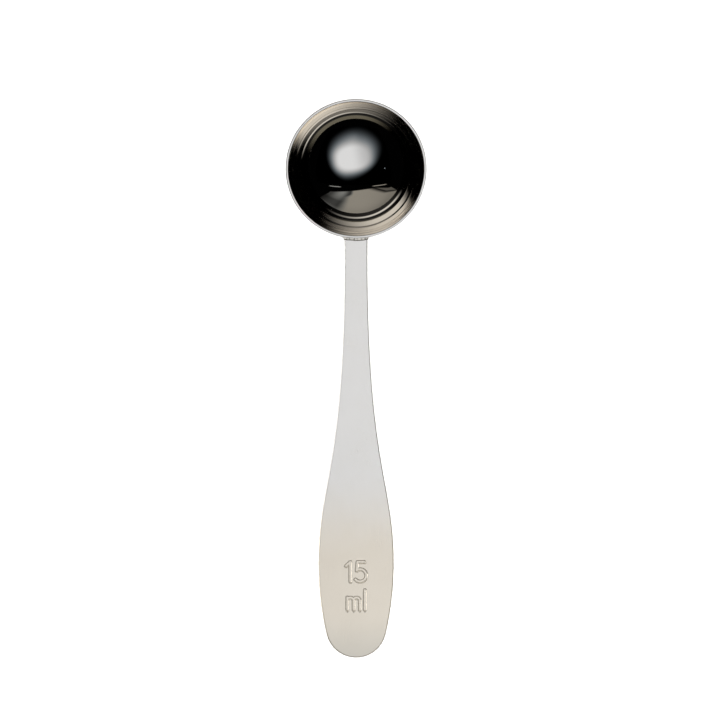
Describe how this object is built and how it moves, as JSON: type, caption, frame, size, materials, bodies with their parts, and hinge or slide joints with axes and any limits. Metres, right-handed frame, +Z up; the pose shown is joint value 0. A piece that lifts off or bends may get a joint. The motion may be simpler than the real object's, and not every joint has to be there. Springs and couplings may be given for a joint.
{
  "type": "measuring scoop",
  "caption": "Steel kitchen scoop with a round polished bowl that holds a level tablespoon and a flat handle that widens into a rounded paddle, for measuring out dry goods.",
  "frame": {"origin": "on the table the scoop lies on, under the middle of its box", "axes": "+Z up from the table, +Y from the handle towards the bowl, +X to the right when looking along +Y"},
  "size_m": [0.043, 0.1706, 0.0211],
  "materials": {
    "polished_bowl": "mirror-polished stainless steel, inside and out",
    "satin_handle": "fine satin stainless steel, light grey, slightly warm on the paddle",
    "weld_metal": "brushed-down weld, rippled, a little darker than the sheet"
  },
  "bodies": {
    "root": {"bowl": "polished_bowl", "handle": "satin_handle", "weld_bead_top": "weld_metal", "weld_bead_under": "weld_metal"}
  },
  "joints": []
}
